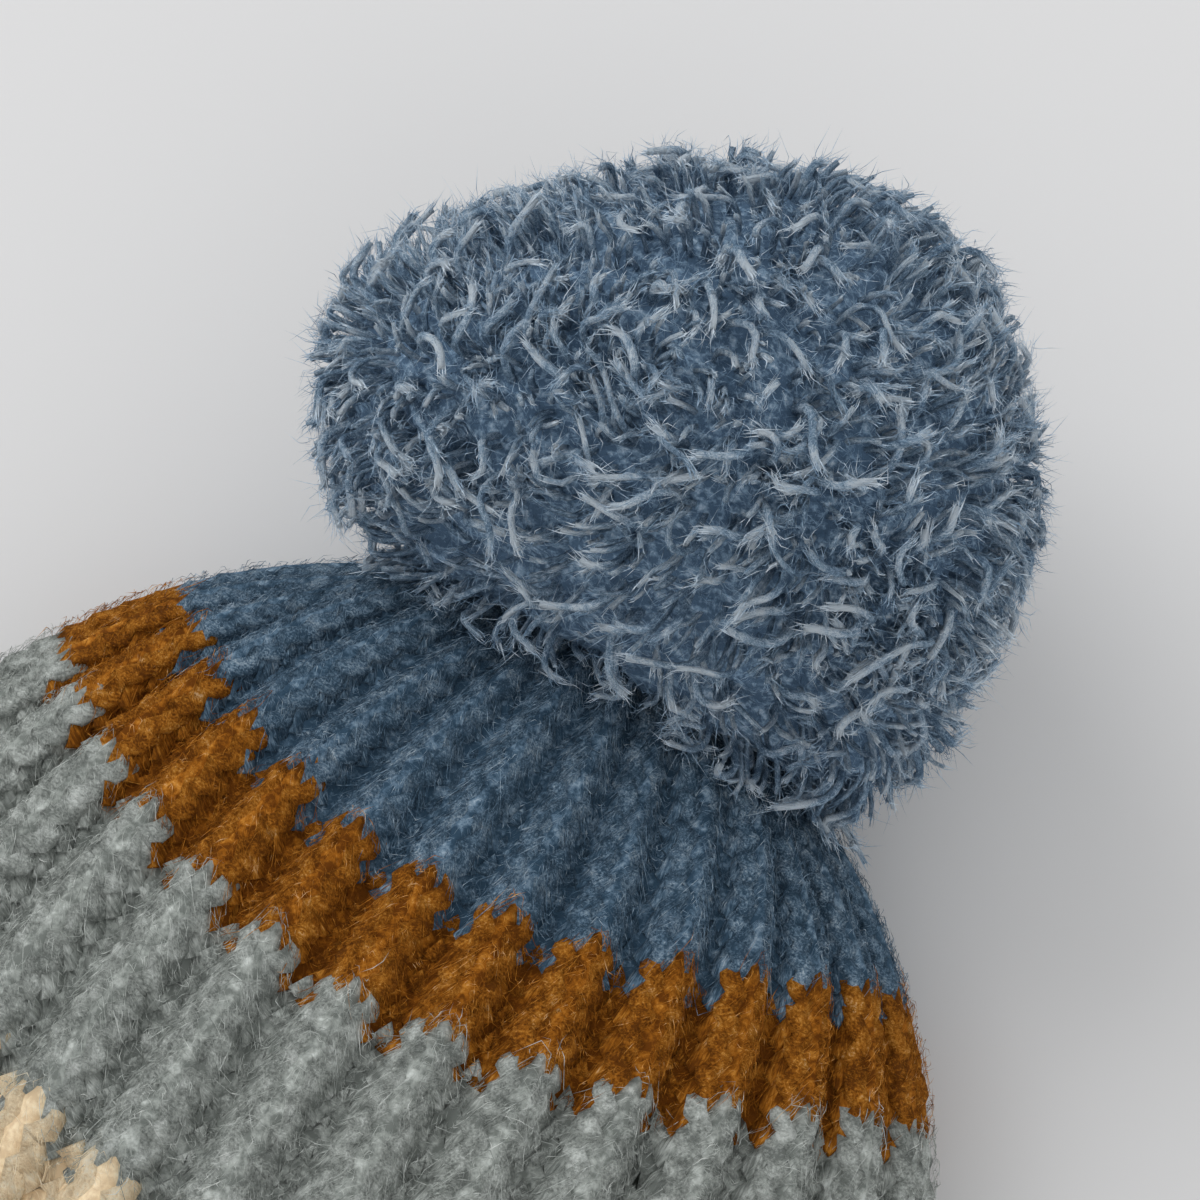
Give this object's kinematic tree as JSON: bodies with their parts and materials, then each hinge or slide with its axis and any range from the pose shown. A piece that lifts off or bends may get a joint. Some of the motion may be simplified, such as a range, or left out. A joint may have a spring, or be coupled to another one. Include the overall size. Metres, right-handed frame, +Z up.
{
  "type": "bobble hat",
  "caption": "Child's chunky ribbed bobble hat lying on its side, with a blue crown, rust, grey and cream bands and a large yarn pompom.",
  "frame": {"origin": "on the surface it lies on, below the middle of the whole hat", "axes": "+Y along the hat from its rim to its pompom, +X across it, +Z up from the surface"},
  "size_m": [0.1796, 0.2568, 0.0985],
  "materials": {
    "blue_knit": "brushed wool",
    "rust_knit": "brushed wool",
    "grey_knit": "brushed wool",
    "cream_knit": "brushed wool",
    "pompom_yarn": "frayed yarn"
  },
  "bodies": {
    "root": {"crown_cap": "blue_knit", "rust_stripe": "rust_knit", "grey_band": "grey_knit", "cream_band": "cream_knit", "pompom": "pompom_yarn"}
  },
  "joints": []
}
